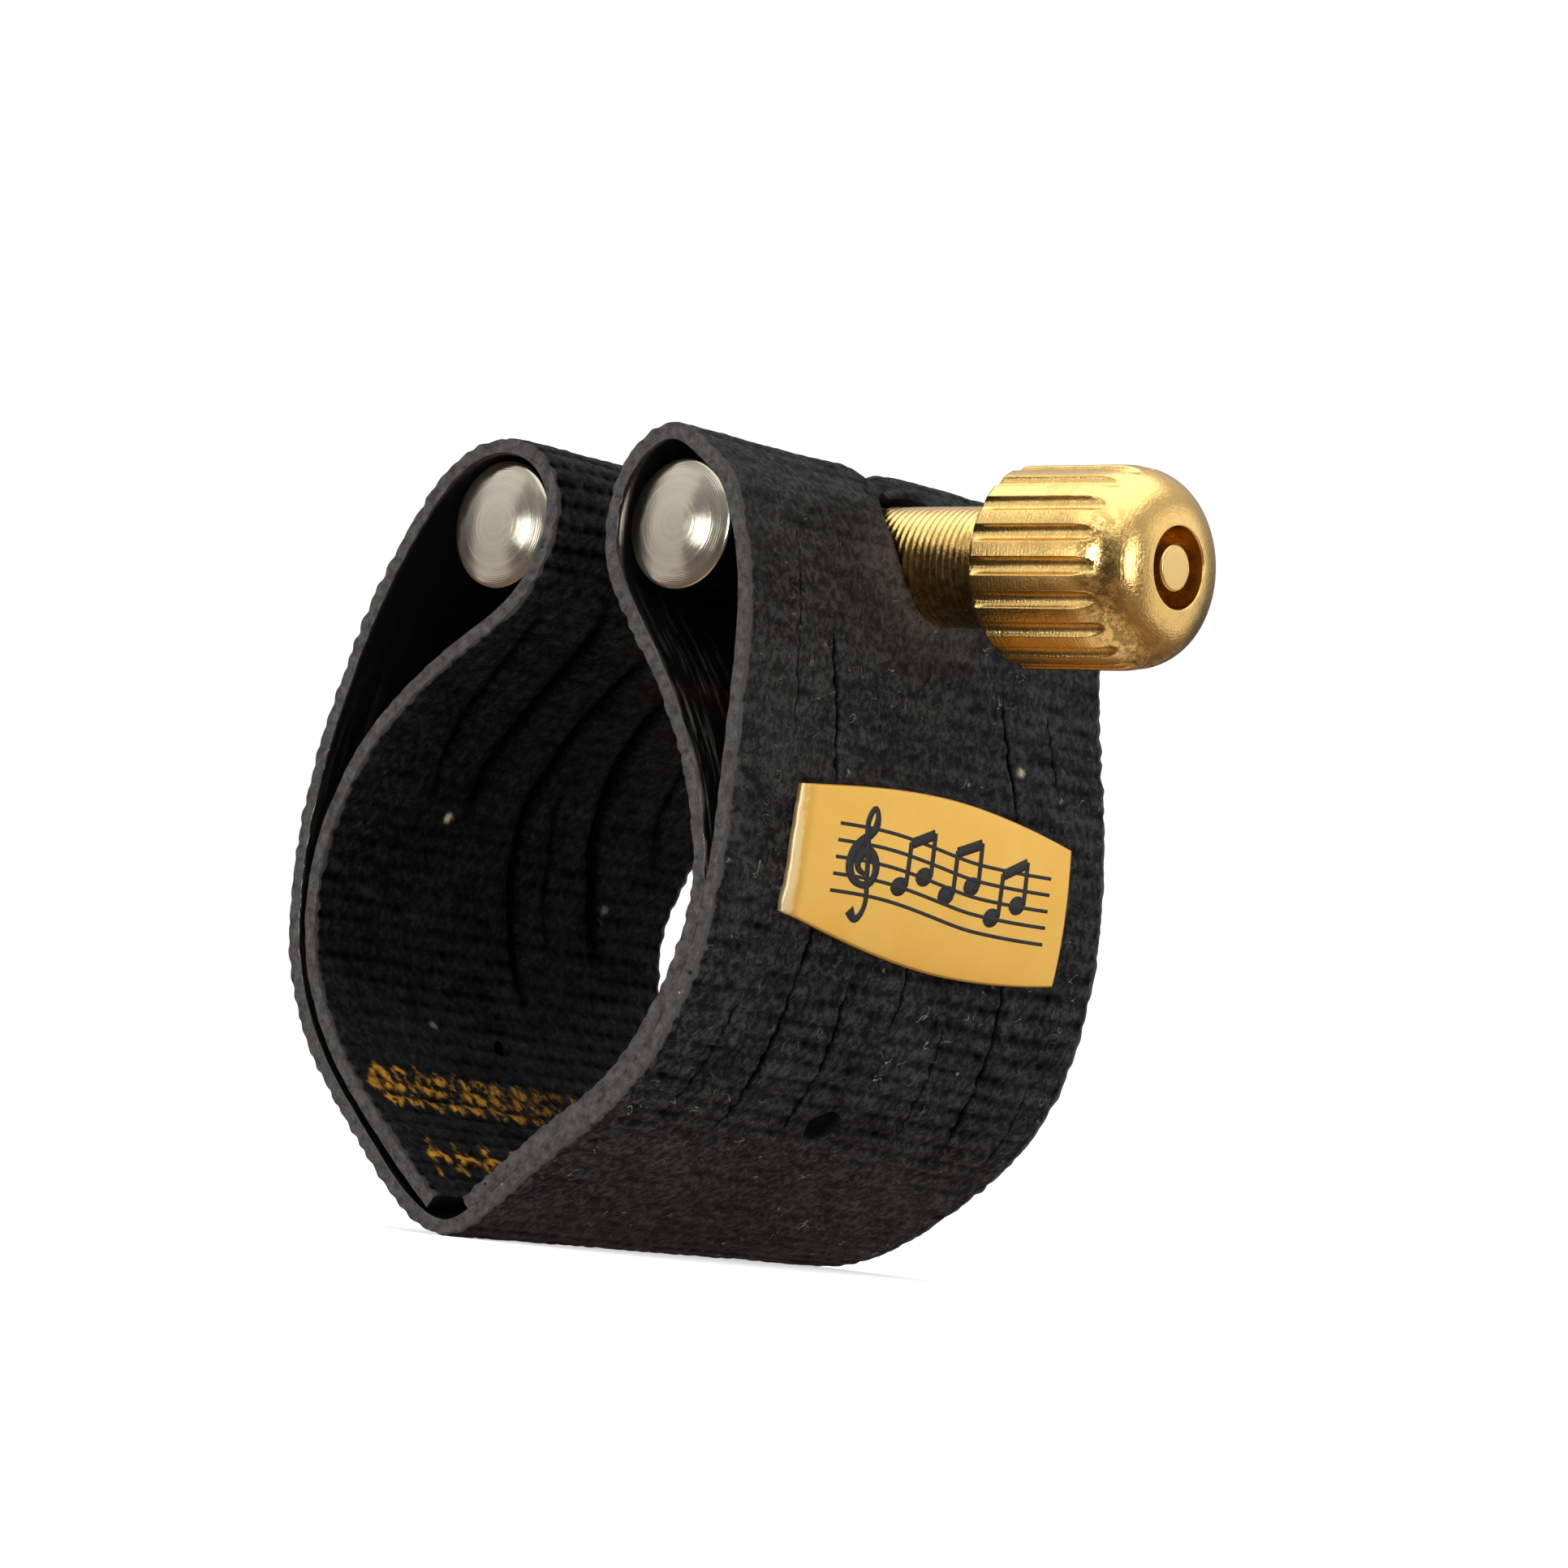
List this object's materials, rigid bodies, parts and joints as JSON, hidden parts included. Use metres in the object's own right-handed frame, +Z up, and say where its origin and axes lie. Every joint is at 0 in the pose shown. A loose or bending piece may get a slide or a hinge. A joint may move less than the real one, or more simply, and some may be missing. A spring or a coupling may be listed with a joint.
{
  "type": "saxophone ligature",
  "caption": "Fabric-band ligature that clamps a reed to a mouthpiece, drawn shut by a knobbed screw between two crossbars held in the strap's end loops.",
  "frame": {"origin": "on the axis of the mouthpiece's bore, half-way along the strap's width", "axes": "+X along the tightening screw towards its knob, +Y along the bore, +Z up towards the two crossbars"},
  "size_m": [0.0449, 0.0284, 0.0394],
  "materials": {
    "strap": "matt ribbed rubberised fabric",
    "bar": "satin turned ends",
    "knob": "gold plated, lightly brushed",
    "label": "satin gold"
  },
  "bodies": {
    "strap_left": {"strap_left": "strap"},
    "strap_right": {"strap_right": "strap", "label_plate": "label"},
    "left_bar": {"left_crossbar": "bar"},
    "right_bar": {"right_crossbar": "bar"},
    "screw": {"knob": "knob", "stud": "knob"}
  },
  "joints": [
    {"name": "strap_flex", "type": "hinge", "parent": "strap_left", "child": "strap_right", "pos_m": [-0.0015, 0, -0.01545], "axis": [0, -1, 0], "range_deg": [-3.55, 3.55]},
    {"name": "left_bar_swivel", "type": "hinge", "parent": "strap_left", "child": "left_bar", "pos_m": [-0.00354, 0, 0.01865], "axis": [0, -1, 0], "range_deg": [-2.95, 2.95]},
    {"name": "right_bar_swivel", "type": "hinge", "parent": "strap_right", "child": "right_bar", "pos_m": [0.00815, 0, 0.01865], "axis": [0, -1, 0], "range_deg": [-0.65, 0.65]},
    {"name": "screw_turn", "type": "hinge", "parent": "right_bar", "child": "screw", "pos_m": [0.00815, 0, 0.01865], "axis": [-1, 0, 0], "range_deg": [-1080, 1080]}
  ],
  "couplings": [
    {"joint": "strap_flex", "follows": "screw_turn", "ratio": 0.0032671},
    {"joint": "left_bar_swivel", "follows": "screw_turn", "ratio": 0.002697},
    {"joint": "right_bar_swivel", "follows": "screw_turn", "ratio": -0.00057014}
  ]
}
